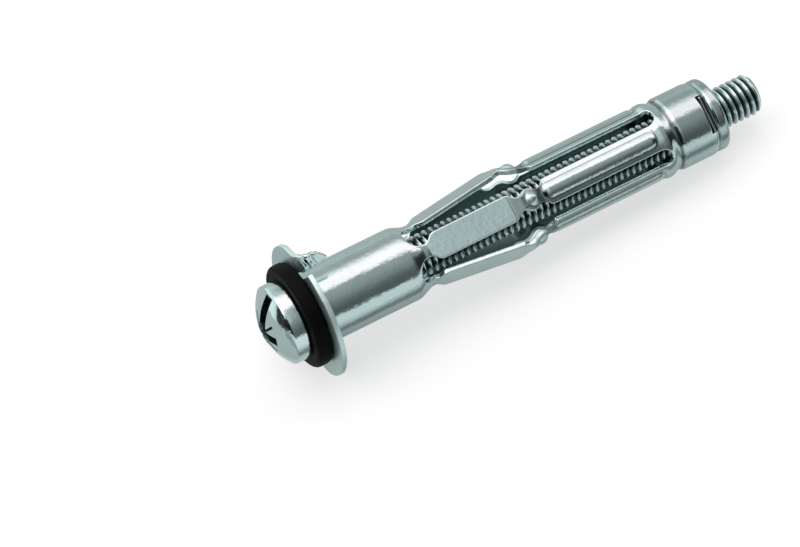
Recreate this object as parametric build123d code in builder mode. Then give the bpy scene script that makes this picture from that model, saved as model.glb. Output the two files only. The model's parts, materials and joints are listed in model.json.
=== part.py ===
from build123d import *
from math import asin, atan, atan2, cos, degrees, hypot, radians, sin, tan
import os

# Metal hollow wall anchor: a folded sheet sleeve with five legs, a threaded insert in its
# rear end, a black retaining ring and a pan head screw. Millimetres.
# The pieces are drawn about the local Z axis. Its +Z points out of the wall, depths are
# measured behind the flange's front face, and angle 0 is the middle of the flange's upper gap.

# Sheet
sheet = 0.6
fold_radius = 0.3

# Flange: two segments, each with a plain end and an end bent into a claw
flange_r = 7.9
plain_end_r = 7.7
bend_end_r = 7.57
gap_half_angle = 12.5
bend_end_angle = 19.3
plain_end_turn = 25.0
plain_edge_length = 3.0
trimmed_rim_angle = 24.0
corner_flat_angle = 31.0
bend_line_angle = 17.9
bend_line_length = 2.3
claw_fold_radius = 1.2
claw_depth = 3.5
claw_side = 1.7
claw_bulge = 0.55
claw_bulge_depth = 2.95
claw_tip = 1.2
claw_tip_width = 0.2

# Tube behind the flange, and its pinch
tube_r = 4.35
tube_length = 12.4
pinch_r = 3.72
pinch_depth = 13.9
pinch_bend_r = 1.2
relief_hole_depth = 14.3
relief_hole_r = 1.6

# Legs, flat from the pinch to the shoulder
leg_count = 5
leg_width = 3.2
neck_end = 14.45
panel_start = 15.9
panel_end = 24.5
knee_start = 24.9
knee_start_r = 5.05
knee_end = 26.3
knee_r = 5.1
knee_bend_r = 0.8
shoulder_depth = 28.9
shoulder_r = 4.16
front_waist_depth = 26.15
front_waist_width = 1.7
dome_seat_depth = 27.5
dome_seat_width = 2.6
rear_waist_depth = 28.8
rear_waist_width = 1.74
rear_waist_end = 30.2
planform_spare = 0.15

# Dome and bead pressed out of each leg
dome_depth = 27.6
dome_sphere_r = 0.98
dome_height = 0.5
dome_wall = 0.5
bar_r = 4.3
bar_start = 30.0
bead_r = 1.35
bead_height = 0.28
bead_start = 30.05
bead_end = 43.0

# Rear of the sleeve
slot_end_depth = 45.0
bump_r = 4.51
bump_start = 44.55
bump_end = 45.15
groove_r = 4.13
groove_start = 46.0
groove_end = 46.2
groove_bend_r = 0.4
housing_r = 4.4
housing_start = 46.85
sleeve_end = 51.2
sleeve_end_round = 0.5
notch_angle = -38.0
notch_half_angle = 34.0
notch_length = 0.85

# Threaded insert
insert_play = 0.03
insert_front = 46.95
insert_chamfer = 0.25
collar_r = 4.32
collar_length = 1.4
collar_round = 0.45
key_flat = 3.85
key_side_play = 4.0
key_end_play = 0.2

# Black ring under the head
ring_r = 6.15
ring_thickness = 1.9
ring_round = 0.6

# Screw, M5 by 60, its thread drawn as a plain shank at the outer diameter
screw_r = 2.4
screw_play = 0.05
screw_length = 60.0
tip_chamfer = 0.45
head_r = 4.7
head_side = 1.75
head_height = 3.65
head_edge_round = 0.3
slot_angle = 8.0
slot_width = 1.28
slot_depth = 1.7
wing_width = 1.1
wing_reach = 2.7
wing_root = 1.0
recess_depth = 2.6
spike_width = 0.3
spike_reach = 3.1
spike_root = 1.4
spike_depth = 1.7

# Sizes worked out from those above
half = sheet / 2
tube_mid = tube_r - half
pinch_mid = pinch_r - half
bar_mid = bar_r - half
bore_r = screw_r + screw_play
claw_bend_outer = claw_fold_radius + sheet
leg_pitch = 360 / leg_count
bar_half_angle = degrees(asin(leg_width / 2 / bar_r))
slot_end_r = bar_r * sin(radians(leg_pitch / 2 - bar_half_angle))
bar_end = slot_end_depth - slot_end_r
relief_half_angle = degrees(atan(relief_hole_r / pinch_r))
neck_width = 2 * pinch_r * sin(radians(leg_pitch / 2 - relief_half_angle))
collar_end = sleeve_end + collar_length
key_length = notch_length - key_end_play
key_half_angle = notch_half_angle - key_side_play
flange_core_r = tube_r + fold_radius + half
first_leg = 180
first_slot = first_leg + leg_pitch / 2


def polar(radius, angle):
    return Vector(radius * cos(radians(angle)), radius * sin(radians(angle)))


def section(*spots):
    """Points of a section through the axis, from pairs of radius and depth."""
    return [(radius, -depth) for radius, depth in spots]


def axial_plane(angle):
    """The plane through the axis at an angle: x is the radius and y is the axis."""
    return Plane(origin=(0, 0, 0), x_dir=polar(1, angle), z_dir=polar(1, angle - 90))


def radial_plane(angle, distance=0, depth=0):
    """The plane that faces out at an angle: x goes round the axis and y is the axis."""
    origin = polar(distance, angle) - Vector(0, 0, depth)
    return Plane(origin=origin, x_dir=polar(1, angle + 90), z_dir=polar(1, angle))


def ease(start, end):
    """A curve between two points of a planform that leaves and ends along the leg."""
    middle = (start[1] + end[1]) / 2
    return Bezier(start, (start[0], middle), (end[0], middle), end)


def bead_form(radius):
    """A round-ended bar along the leg, which the sheet of the bead is pressed around."""
    axis_r = bar_r + bead_height - bead_r
    middle = -(bead_start + bead_end) / 2
    length = bead_end - bead_start
    with BuildPart() as form:
        with BuildSketch(Plane.XZ):
            with Locations((axis_r, middle)):
                SlotCenterToCenter(length, 2 * radius, rotation=90)
            with Locations((axis_r - radius, middle)):
                Rectangle(2 * radius, length + 4 * radius, mode=Mode.SUBTRACT)
        revolve(axis=Axis((axis_r, 0, 0), (0, 0, 1)))
    return form.part


# Bead, only its part that stands over the middle of the sheet
with BuildPart() as bead:
    add(bead_form(bead_r))
    with BuildSketch(Plane.XY.offset(-bead_end - 2 * bead_r)):
        Circle(bar_mid)
    extrude(amount=bead_end - bead_start + 4 * bead_r, mode=Mode.SUBTRACT)

# Dome, square to the slope between the knee and the shoulder
slope_fall = knee_r - shoulder_r
slope_run = shoulder_depth - knee_end
slope_length = hypot(slope_fall, slope_run)
dome_seat_r = knee_r - slope_fall * (dome_depth - knee_end) / slope_run
dome_plane = Plane(
    origin=(dome_seat_r, 0, -dome_depth),
    x_dir=(0, 1, 0),
    z_dir=(slope_run / slope_length, 0, -slope_fall / slope_length),
)
with BuildPart(dome_plane.offset(dome_height - dome_sphere_r)) as dome:
    Sphere(dome_sphere_r)
    split(bisect_by=dome_plane.offset(-half), keep=Keep.TOP)

# One leg, its middle over +X
with BuildPart() as leg:
    with BuildSketch(Plane.XZ):
        with BuildLine():
            FilletPolyline(
                *section(
                    (pinch_mid, relief_hole_depth),
                    (pinch_mid, neck_end),
                    (knee_start_r - half, knee_start),
                    (knee_r - half, knee_end),
                    (shoulder_r - half, shoulder_depth),
                ),
                radius=[fold_radius, knee_bend_r, knee_bend_r],
            )
        trace(line_width=sheet)
    extrude(amount=leg_width / 2, both=True)
    with BuildSketch(axial_plane(-bar_half_angle)):
        with BuildLine():
            Polyline(
                *section(
                    (shoulder_r - half, shoulder_depth),
                    (bar_mid, bar_start),
                    (bar_mid, bar_end),
                )
            )
        trace(line_width=sheet)
    revolve(axis=Axis.Z, revolution_arc=2 * bar_half_angle)
    add(bead.part)
    add(bead_form(bead_r - sheet), mode=Mode.SUBTRACT)
    add(dome.part)
    with Locations(dome_plane.offset(dome_height - dome_sphere_r)):
        Sphere(dome_sphere_r - dome_wall, mode=Mode.SUBTRACT)
    with BuildSketch(radial_plane(0)):
        with BuildLine():
            waist = [
                (neck_width / 2, -neck_end),
                (leg_width / 2, -panel_start),
                (leg_width / 2, -panel_end),
                (front_waist_width / 2, -front_waist_depth),
                (dome_seat_width / 2, -dome_seat_depth),
                (rear_waist_width / 2, -rear_waist_depth),
                (leg_width / 2 + planform_spare, -rear_waist_end),
            ]
            Polyline((0, -relief_hole_depth), (neck_width / 2, -relief_hole_depth), waist[0])
            for start, end in zip(waist, waist[1:]):
                if start[0] == end[0]:
                    Line(start, end)
                else:
                    ease(start, end)
            Polyline(waist[-1], (waist[-1][0], -bar_end), (0, -bar_end))
            mirror(about=Plane.YZ)
        make_face()
    extrude(amount=2 * knee_r, mode=Mode.INTERSECT)

# Relief hole at the front of each slot, its sides square to the sheet
with BuildPart() as relief_hole:
    for distance in (pinch_mid - sheet, tube_r + sheet):
        with BuildSketch(radial_plane(0, distance, relief_hole_depth)):
            Ellipse(relief_hole_r * distance / pinch_r, relief_hole_r)
    loft()

# Flange segment, bent end first
bend_rim = polar(bend_end_r, bend_end_angle)
bend_inward = polar(-1, bend_line_angle)
bend_root = bend_rim + bend_inward * bend_line_length
flat_end = polar(flange_r, corner_flat_angle)
plain_angle = 180 - gap_half_angle
step_angle = plain_angle - trimmed_rim_angle
plain_rim = polar(plain_end_r, plain_angle)
plain_root = plain_rim + polar(-1, plain_angle - plain_end_turn) * plain_edge_length
with BuildSketch() as segment:
    with BuildLine():
        Polyline(bend_root, bend_rim, flat_end)
        ThreePointArc(
            flat_end,
            polar(flange_r, (corner_flat_angle + step_angle) / 2),
            polar(flange_r, step_angle),
        )
        Line(polar(flange_r, step_angle), polar(plain_end_r, step_angle))
        ThreePointArc(
            polar(plain_end_r, step_angle),
            polar(plain_end_r, (step_angle + plain_angle) / 2),
            plain_rim,
        )
        Polyline(plain_rim, plain_root, bend_root)
    make_face()

# Claw: the segment's end, bent back along the bend line and cut to a point
claw_normal = bend_inward.cross(Vector(0, 0, 1))
with BuildPart() as claw:
    with BuildSketch(Plane(origin=bend_rim, x_dir=-claw_normal, z_dir=bend_inward)):
        with BuildLine():
            FilletPolyline(
                (-sheet, -half),
                (claw_fold_radius + half, -half),
                (claw_fold_radius + half, -claw_depth),
                radius=claw_fold_radius + half,
            )
        trace(line_width=sheet)
    extrude(amount=bend_line_length)
    with BuildSketch(Plane(origin=bend_rim, x_dir=bend_inward, z_dir=claw_normal)):
        with BuildLine():
            Polyline(
                (0, -claw_bend_outer),
                (0, 0),
                (bend_line_length, 0),
                (claw_side, -claw_bend_outer),
                (claw_tip + claw_tip_width / 2, -claw_depth),
                (claw_tip - claw_tip_width / 2, -claw_depth),
            )
            ThreePointArc(
                (claw_tip - claw_tip_width / 2, -claw_depth),
                (claw_bulge, -claw_bulge_depth),
                (0, -claw_bend_outer),
            )
        make_face()
    extrude(amount=flange_r, both=True, mode=Mode.INTERSECT)

# Sleeve, one folded sheet
with BuildPart() as sleeve:
    with BuildSketch(Plane.XZ):
        with BuildLine():
            FilletPolyline(
                *section(
                    (flange_core_r, half),
                    (tube_mid, half),
                    (tube_mid, tube_length),
                    (pinch_mid, pinch_depth),
                    (pinch_mid, relief_hole_depth),
                ),
                radius=[fold_radius + half, 2 * pinch_bend_r, pinch_bend_r],
            )
        trace(line_width=sheet)
    revolve(axis=Axis.Z)
    with PolarLocations(0, leg_count, start_angle=first_slot):
        add(relief_hole.part, mode=Mode.SUBTRACT)
    with BuildSketch():
        with PolarLocations(0, 2):
            add(segment.sketch)
        Circle(tube_r + fold_radius, mode=Mode.SUBTRACT)
    extrude(amount=-sheet)
    with PolarLocations(0, 2):
        add(claw.part)
    with BuildSketch(Plane.XZ):
        with BuildLine():
            FilletPolyline(
                *section(
                    (bar_mid, bar_end),
                    (bar_mid, bar_end + half / 2),
                    (bump_r - half, bump_start),
                    (bump_r - half, bump_end),
                    (groove_r - half, groove_start),
                    (groove_r - half, groove_end),
                    (housing_r - half, housing_start),
                    (housing_r - half, sleeve_end),
                ),
                radius=groove_bend_r,
            )
        trace(line_width=sheet)
    revolve(axis=Axis.Z)
    end_edges = sleeve.edges().filter_by(GeomType.CIRCLE).group_by(Axis.Z)[0]
    fillet(end_edges.sort_by(SortBy.RADIUS)[-1], sleeve_end_round)
    slot_planes = [
        radial_plane(first_slot + leg_pitch * index, 0, bar_end) for index in range(leg_count)
    ]
    with BuildSketch(*slot_planes):
        Circle(slot_end_r)
    extrude(amount=2 * housing_r, mode=Mode.SUBTRACT)
    with BuildSketch(Plane.XY.offset(notch_length - sleeve_end)):
        with PolarLocations(0, 2, start_angle=notch_angle):
            Polygon(
                (0, 0),
                polar(2 * housing_r, -notch_half_angle),
                polar(2 * housing_r, notch_half_angle),
                align=None,
            )
    extrude(amount=-notch_length, mode=Mode.SUBTRACT)
    with PolarLocations(0, leg_count, start_angle=first_leg):
        add(leg.part)

# Threaded insert: a round body in the housing, a collar, and two keys in the notches
with BuildPart() as threaded_insert:
    with BuildSketch(Plane.XY.offset(-insert_front)):
        Circle(housing_r - sheet - insert_play)
    extrude(amount=insert_front - sleeve_end)
    with BuildSketch(Plane.XY.offset(-sleeve_end)):
        Circle(collar_r)
    extrude(amount=-collar_length)
    collar_edges = threaded_insert.edges().filter_by(GeomType.CIRCLE)
    fillet(collar_edges.filter_by(lambda edge: edge.radius == collar_r), collar_round)
    chamfer(threaded_insert.edges().sort_by(Axis.Z)[-1], insert_chamfer)
    with BuildSketch(Plane.XY.offset(-sleeve_end)):
        with PolarLocations(0, 2, start_angle=notch_angle):
            Polygon(
                (0, 0),
                (key_flat, -key_flat * tan(radians(key_half_angle))),
                (key_flat, key_flat * tan(radians(key_half_angle))),
                align=None,
            )
        Circle(collar_r, mode=Mode.INTERSECT)
    extrude(amount=key_length)
    with Locations((0, 0, -sleeve_end)):
        Hole(bore_r)

# Black ring
with BuildPart() as retaining_ring:
    with BuildSketch():
        Circle(ring_r)
    extrude(amount=ring_thickness)
    fillet(retaining_ring.edges(), ring_round)
    Hole(bore_r)

# Screw
with BuildPart() as screw:
    crown = ring_thickness + head_height
    with BuildSketch(Plane.XY.offset(ring_thickness)):
        Circle(screw_r)
    extrude(amount=-screw_length)
    chamfer(screw.edges().group_by(Axis.Z)[0], tip_chamfer)
    with BuildSketch(Plane.XZ):
        with BuildLine():
            Polyline((0, crown), (0, ring_thickness), (head_r, ring_thickness),
                     (head_r, ring_thickness + head_side))
            ThreePointArc(
                (head_r, ring_thickness + head_side),
                (head_r / 2, crown - (head_height - head_side) / 4),
                (0, crown),
            )
        make_face()
    revolve(axis=Axis.Z)
    rim_edges = screw.edges().filter_by(GeomType.CIRCLE)
    fillet(rim_edges.filter_by(lambda edge: abs(edge.radius - head_r) < half), head_edge_round)
    with BuildSketch(Plane.XY.offset(crown)):
        Rectangle(4 * head_r, slot_width, rotation=slot_angle)
    extrude(amount=-slot_depth, mode=Mode.SUBTRACT)
    recess = (
        (slot_angle, wing_width, wing_reach, wing_root, recess_depth),
        (slot_angle + 90, wing_width, wing_reach, wing_root, recess_depth),
        (slot_angle + 45, spike_width, spike_reach, spike_root, spike_depth),
        (slot_angle + 135, spike_width, spike_reach, spike_root, spike_depth),
    )
    for angle, width, reach, root, depth in recess:
        with BuildSketch(axial_plane(angle)):
            Polygon(
                (-reach, crown + sheet),
                (-reach, crown),
                (-root, crown - depth),
                (root, crown - depth),
                (reach, crown),
                (reach, crown + sheet),
                align=None,
            )
        extrude(amount=width / 2, both=True, mode=Mode.SUBTRACT)

# At rest it lies on a plain corner and a claw's fold at the lower gap, and on the collar
corner = polar(plain_end_r, -gap_half_angle)
fold = bend_rim - claw_normal * claw_bend_outer
reach = fold - corner
tilt = 0
for _ in range(3):
    roll = atan2(reach.X + (claw_bend_outer - sheet) * tan(tilt), reach.Y)
    drop = corner.X * cos(roll) - corner.Y * sin(roll)
    tilt = atan2(drop - collar_r, collar_end - collar_round - sheet)
lying = Plane(
    origin=(0, 0, drop * cos(tilt) + sheet * sin(tilt)),
    x_dir=(sin(tilt) * cos(roll), sin(roll), cos(tilt) * cos(roll)),
    z_dir=(-cos(tilt), 0, sin(tilt)),
).location
pieces = {
    "sleeve": sleeve,
    "threaded_insert": threaded_insert,
    "retaining_ring": retaining_ring,
    "screw": screw,
}
laid = {name: lying * piece.part for name, piece in pieces.items()}
box = Compound(list(laid.values())).bounding_box()
centring = Location((-box.center().X, -box.center().Y, 0))

os.makedirs("parts", exist_ok=True)
for name, piece in laid.items():
    placed = centring * piece
    placed.label = name
    export_step(placed, f"parts/{name}.step")
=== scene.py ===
import json
from math import asin, atan2, cos, degrees, pi, radians, sin, tan

import bmesh
import bpy
import numpy as np
from mathutils import Matrix, Vector


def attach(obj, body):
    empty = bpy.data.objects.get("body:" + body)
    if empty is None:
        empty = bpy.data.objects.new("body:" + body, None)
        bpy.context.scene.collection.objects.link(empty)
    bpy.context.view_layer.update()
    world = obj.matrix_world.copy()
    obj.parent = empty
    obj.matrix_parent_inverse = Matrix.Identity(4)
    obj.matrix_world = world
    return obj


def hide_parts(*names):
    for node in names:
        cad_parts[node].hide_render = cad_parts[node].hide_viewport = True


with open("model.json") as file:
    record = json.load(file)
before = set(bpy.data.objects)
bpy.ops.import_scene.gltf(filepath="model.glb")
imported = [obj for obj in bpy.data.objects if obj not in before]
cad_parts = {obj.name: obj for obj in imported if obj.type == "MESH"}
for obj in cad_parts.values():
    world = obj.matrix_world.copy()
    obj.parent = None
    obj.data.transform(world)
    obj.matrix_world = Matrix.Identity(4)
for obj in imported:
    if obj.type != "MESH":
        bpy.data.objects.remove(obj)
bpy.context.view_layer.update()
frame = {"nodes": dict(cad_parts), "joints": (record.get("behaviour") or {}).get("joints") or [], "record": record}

# Sizes in millimetres. Depths are measured behind the flange's front face, and angles
# round the anchor's axis from the middle of the flange's upper gap.
MM = 0.001
SHEET = 0.6
EDGE_ROUND = 0.12
LEGS = 5
LEG_PITCH = 360 / LEGS
FIRST_LEG = 180.0

FLANGE_R = 7.9
PLAIN_END_R = 7.7
BEND_END_R = 7.57
GAP_HALF_ANGLE = 12.5
BEND_END_ANGLE = 19.3
CORNER_FLAT_ANGLE = 31.0
TRIMMED_RIM_ANGLE = 24.0
PLAIN_END_TURN = 25.0
PLAIN_EDGE_LENGTH = 3.0
BEND_LINE_ANGLE = 17.9
BEND_LINE_LENGTH = 2.3
FOLD_INNER_R = 0.3
FOLD_OUTER_R = FOLD_INNER_R + SHEET
CLAW_INNER_R = 1.2
CLAW_OUTER_R = CLAW_INNER_R + SHEET
CLAW_DEPTH = 3.5
CLAW_SIDE = 1.7
CLAW_TIP = 1.2
CLAW_TIP_WIDTH = 0.2
CLAW_BULGE = 1.7
CLAW_SUNK = 0.012
CLAW_ROOT = 0.4
FLANGE_CORE_R = 4.95
CORE_CORNER_ANGLE = 0.6
# The claws' crumpled folds: how high and long a crumple is, how much and how fast it sways
# across the claw, and between which lengths of the sheet the crumples start and end
CRUMPLE = 0.085
CRUMPLE_LENGTH = 0.74
CRUMPLE_SWAY = 1.3
CRUMPLE_SWAY_RATE = 3.1
CRUMPLE_START, CRUMPLE_END = (0.2, 1.1), (2.4, 3.9)

TUBE_R = 4.35
PINCH_R = 3.72
RELIEF_DEPTH = 14.3
RELIEF_R = 1.6
NECK_END = 14.45
KNEE_R = 5.1
KNEE_END = 26.3
SHOULDER_R = 4.16
SHOULDER_DEPTH = 28.9
BAR_R = 4.3
BAR_START = 29.0
LEG_WIDTH = 3.2
# A leg is flat across from the first of these to the second, and round like the tube beyond
FLAT_START, FLAT_END = (14.3, 15.1), (28.7, 30.2)
SLOT_END_DEPTH = 45.0
END_RING_R = 4.51
GROOVE_R = 4.13
HOUSING_R = 4.4
NOTCH_DEPTH = 50.35
GROOVE_DEPTH = 46.3
SLEEVE_END = 51.2
SLEEVE_END_ROUND = 0.5
NOTCH_ANGLES = (-38.0, 142.0)
NOTCH_HALF_ANGLE = 34.0

BEAD_R = 1.35
BEAD_AXIS_R = 3.23
BEAD_START = 30.05
BEAD_END = 43.0
DOME_DEPTH = 27.6
DOME_R = 0.98
DOME_HEIGHT = 0.5
CREASE_SOFTNESS = 0.12
# Creases across a leg where it was folded: depth, how deep they go, how far they spread
CREASES = ((14.52, 0.05, 0.08), (24.9, 0.03, 0.05))

# Meshes: points nearer than MERGE are one, in the solid's own mesh nearer than SOLID_MERGE,
# and an edge shorter than SLIVER goes
MERGE = 0.002
SOLID_MERGE = 0.001
SLIVER = 0.0005
NOTCH_WALL_SIDES = 12

SCREW_R = 2.4
THREAD_ROOT_R = 1.98
PITCH = 0.8
HEAD_BASE = -1.9
HEAD_CUT = -1.5
HEAD_RIM = 3.7
CROWN_SPHERE_R = 6.76
CROWN_CENTRE = 5.55 - CROWN_SPHERE_R
SCREW_TIP = 58.1
TIP_CHAMFER = 0.45
CREST_DEPTH = 54.465
THREAD_TURNS = 77
THREAD_ROWS = 16
THREAD_COLUMNS = 48
# The thread's profile: the share of the pitch that is flat at its root, and again at its
# crest, and the shares of its height between which the root, dull and darkened by painted
# shade, ends and the worn crest, painted lighter as a highlight, starts. ROW_NUDGE keeps a
# row that lies between two turns in the later one.
THREAD_FLAT = 0.12
THREAD_DULL_SHADE = (0.1, 0.8)
THREAD_WORN_HIGHLIGHT = (0.55, 1.0)
ROW_NUDGE = 0.0001

# The sleeve's outline along its axis: depth, outer radius, and how far a bend is rounded
SLEEVE_LINE = (
    (0.0, TUBE_R, 0.0),
    (12.4, TUBE_R, 0.48),
    (13.9, PINCH_R, 0.2),
    (NECK_END, PINCH_R, 0.1),
    (24.9, 5.05, 0.15),
    (KNEE_END, KNEE_R, 0.15),
    (SHOULDER_DEPTH, SHOULDER_R, 0.2),
    (30.0, BAR_R, 0.2),
    (43.95, BAR_R, 0.15),
    (44.55, END_RING_R, 0.2),
    (45.15, END_RING_R, 0.2),
    (46.0, GROOVE_R, 0.12),
    (46.28, GROOVE_R, 0.08),
    (46.78, HOUSING_R, 0.08),
    (SLEEVE_END, HOUSING_R, 0.0),
)

# Half the width of a leg along it
LEG_OUTLINE = (
    (RELIEF_DEPTH, 0.82),
    (NECK_END, 0.82),
    (15.9, 1.6),
    (24.5, 1.6),
    (26.15, 0.85),
    (27.5, 1.3),
    (28.8, 0.87),
    (30.2, 1.75),
)

# The anchor's own frame: its Z axis is the screw's, its origin is in the flange's front face,
# and its Y axis points at the flange's seat
screw_joint = next(joint for joint in frame["joints"] if joint["name"] == "screw_turn")
flange_seat = next(spot for spot in frame["record"]["mounts"] if spot["name"] == "flange_seat")
OUTWARD = Vector(screw_joint["axis"]).normalized()
ORIGIN = Vector(screw_joint["pos_m"])
to_seat = Vector(flange_seat["pos_m"]) - ORIGIN
ACROSS = (to_seat - OUTWARD * to_seat.dot(OUTWARD)).normalized()
UPWARD = ACROSS.cross(OUTWARD).normalized()
PLACE = Matrix.Translation(ORIGIN) @ Matrix((UPWARD, ACROSS, OUTWARD)).transposed().to_4x4()


def polar(radius, angle):
    return Vector((radius * cos(radians(angle)), radius * sin(radians(angle))))


def radial(angle):
    """The outward direction at an angle round the axis, in the row frame."""
    return UPWARD * cos(radians(angle)) + ACROSS * sin(radians(angle))


def new_object(name, mesh, material):
    obj = bpy.data.objects.new(name, mesh)
    bpy.context.scene.collection.objects.link(obj)
    mesh.materials.clear()
    mesh.materials.append(material)
    return obj


def shade(bm, sharp_angle):
    """Smooth shading with sharp edges where two faces meet at more than an angle."""
    for face in bm.faces:
        face.smooth = True
    for edge in bm.edges:
        edge.smooth = not edge.is_manifold or edge.calc_face_angle(0) < radians(sharp_angle)


# Camera
FOCAL_PIXELS = 4900
IMAGE_WIDTH = 800
SENSOR = 36.0
FLANGE_X = -11.03
FLANGE_Y = 0.8
FLANGE_DISTANCE = 538.6
VIEW_ROLL = radians(26.2)
VIEW_TURN = radians(16.1)
VIEW_ANGLE = -38.4


def add_camera():
    level_x = -OUTWARD * cos(VIEW_TURN) + radial(VIEW_ANGLE) * sin(VIEW_TURN)
    level_y = radial(VIEW_ANGLE + 90)
    back = radial(VIEW_ANGLE) * cos(VIEW_TURN) + OUTWARD * sin(VIEW_TURN)
    right = level_x * cos(VIEW_ROLL) - level_y * sin(VIEW_ROLL)
    up = level_x * sin(VIEW_ROLL) + level_y * cos(VIEW_ROLL)
    data = bpy.data.cameras.new("camera")
    data.sensor_width = SENSOR
    data.lens = FOCAL_PIXELS * SENSOR / IMAGE_WIDTH
    data.clip_start = 0.01
    data.clip_end = 20
    camera = bpy.data.objects.new("camera", data)
    bpy.context.scene.collection.objects.link(camera)
    turn = Matrix((right, up, back)).transposed().to_4x4()
    offset = level_x * FLANGE_X + level_y * FLANGE_Y - back * FLANGE_DISTANCE
    camera.matrix_world = Matrix.Translation(ORIGIN - offset * MM) @ turn
    bpy.context.scene.camera = camera


add_camera()


# Node wiring
class Wire:
    """A node's output, on which Python's operators add Math nodes."""

    def __init__(self, board, socket):
        self.board = board
        self.socket = socket

    def maths(self, operation, *values):
        inputs = dict(enumerate((self,) + values))
        return self.board.add("ShaderNodeMath", {"operation": operation}, inputs)

    def __add__(self, other):
        return self.maths("ADD", other)

    def __sub__(self, other):
        return self.maths("SUBTRACT", other)

    def __mul__(self, other):
        return self.maths("MULTIPLY", other)

    def __truediv__(self, other):
        return self.maths("DIVIDE", other)

    def __rsub__(self, other):
        return self.board.add("ShaderNodeMath", {"operation": "SUBTRACT"}, {0: other, 1: self})

    __radd__ = __add__
    __rmul__ = __mul__

    def above(self, limit):
        return self.maths("GREATER_THAN", limit)

    def below(self, limit):
        return self.maths("LESS_THAN", limit)

    def least(self, other):
        return self.maths("MINIMUM", other)

    def most(self, other):
        return self.maths("MAXIMUM", other)

    def ramp(self, low, high):
        """0 below low, 1 above high, smooth between them."""
        settings = {"interpolation_type": "SMOOTHSTEP"}
        inputs = {0: self, 1: low, 2: high, 3: 0.0, 4: 1.0}
        return self.board.add("ShaderNodeMapRange", settings, inputs)

    def band(self, start, end):
        """1 in a band and 0 beside it. Each end is given as where it starts and where it ends."""
        return self.ramp(*start) * (1.0 - self.ramp(*end))


class Board:
    """Adds nodes to one node tree and wires them."""

    def __init__(self, tree):
        self.tree = tree

    def add(self, kind, settings=None, inputs=None, output=0):
        node = self.tree.nodes.new(kind)
        for name, value in (settings or {}).items():
            setattr(node, name, value)
        for key, value in (inputs or {}).items():
            self.feed(node.inputs[key], value)
        return Wire(self, node.outputs[output]) if node.outputs else node

    def feed(self, socket, value):
        if isinstance(value, Wire):
            self.tree.links.new(value.socket, socket)
        else:
            socket.default_value = value

    def outputs(self, wire, *names):
        """Further outputs of the node behind a wire."""
        return [Wire(self, wire.socket.node.outputs[name]) for name in names]

    def mix(self, factor, first, second):
        """A colour between two others."""
        settings = {"data_type": "RGBA"}
        return self.add("ShaderNodeMix", settings, {0: factor, 6: first, 7: second}, 2)


def new_material(name):
    material = bpy.data.materials.new(name)
    material.use_nodes = True
    material.node_tree.nodes.clear()
    return material, Board(material.node_tree)


def grey(level, tint=(1.0, 1.0, 1.0)):
    return (level * tint[0], level * tint[1], level * tint[2], 1.0)


# Zinc plate's colours. The level of each is multiplied by its tint. The inside's level and
# the shadow level are painted shade, in the shade tint, and the worn level is a painted
# highlight on rims and thread crests.
ZINC_TINT = (0.77, 1.0, 0.99)
SHADE_TINT = (0.65, 1.0, 1.0)
WORN_HIGHLIGHT_LEVEL = 0.95
INSIDE_SHADE_LEVEL = 0.24
SHADOW_LEVEL = 0.05
# Its patterns, in features a metre, and how high each stands in the bump
DRAWN_SCALE = (120.0, 2600.0, 2600.0)
CLOUD_SCALE = 420.0
GRAIN_SCALE = 5200.0
DIMPLE_SCALE = 1900.0
DRAWN_HEIGHT = 0.15
GRAIN_HEIGHT = 0.12
DIMPLE_HEIGHT = 2.3
PLATE_BUMP_DEPTH = 0.00002
# How much lighter or darker and rougher a cloud is, and how much rougher the inside and the
# worked metal are
CLOUD_LIGHT, CLOUD_ROUGH = 0.2, 0.1
INSIDE_ROUGH, WORKED_ROUGH = 0.25, 0.3
# Where the sleeve is duller, and where painted shade makes it darker: radii and depths
# between which each starts or ends, with how dull or dark it gets
FLANGE_START, FLANGE_REAR = (4.7, 5.3), (0.62, 0.7)
WAIST_START, WAIST_END, WAIST_DULL = (26.2, 26.8), (28.4, 29.4), 0.6
HOLLOW_START, HOLLOW_END, HOLLOW_DARK = (27.9, 28.5), (29.1, 29.9), 0.7
GROOVE_FADE, GROOVE_DARK = (0.08, 0.34), 0.75
REAR_START, REAR_DARK = (43.0, 47.0), 0.12
# Painted shade in dark lines round the pressed forms: their first and last depth, and how far out they run
PRESSED_LINES = ((BEAD_START, BEAD_END, 0.97), (DOME_DEPTH, DOME_DEPTH, 0.9))
LINE_HALF_WIDTH, LINE_DARK = 0.13, 0.6
# Painted shade in the gap round the insert's keys, mostly left off a key's bright edge in it, and in the head's
# recess
KEY_GAP_START, KEY_GAP_END = (NOTCH_DEPTH - 0.1, NOTCH_DEPTH), (51.08, SLEEVE_END)
KEY_EDGE_START, KEY_EDGE_END = (50.62, 50.7), (50.76, 50.84)
KEY_GAP_DARK, KEY_EDGE_BRIGHT = 0.97, 0.9
RECESS_FADE, RECESS_DARK = (0.02, 0.8), 0.9


def along_axis(board, vector, axis):
    """How far a vector runs along a direction."""
    settings = {"operation": "DOT_PRODUCT"}
    return board.add("ShaderNodeVectorMath", settings, {0: vector, 1: axis}, "Value")


def noise(board, vector, scale, detail):
    inputs = {"Vector": vector, "Scale": scale, "Detail": detail}
    return board.add("ShaderNodeTexNoise", inputs=inputs)


def anchor_place(board, place):
    """Depth behind the flange's front face, distance from the axis and angle round it."""
    offset = board.add("ShaderNodeVectorMath", {"operation": "SUBTRACT"}, {0: place, 1: ORIGIN})
    x, y, z = (along_axis(board, offset, axis) * (1 / MM) for axis in (UPWARD, ACROSS, OUTWARD))
    return z * -1.0, (x * x + y * y).maths("SQRT"), y.maths("ARCTAN2", x) * (180 / pi)


def worked_metal(depth, radius, angle):
    """The flange's faces and the legs' pressed waists, duller than the drawn tube."""
    flange = radius.ramp(*FLANGE_START) * (1.0 - depth.ramp(*FLANGE_REAR))
    return flange + depth.band(WAIST_START, WAIST_END) * WAIST_DULL


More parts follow.
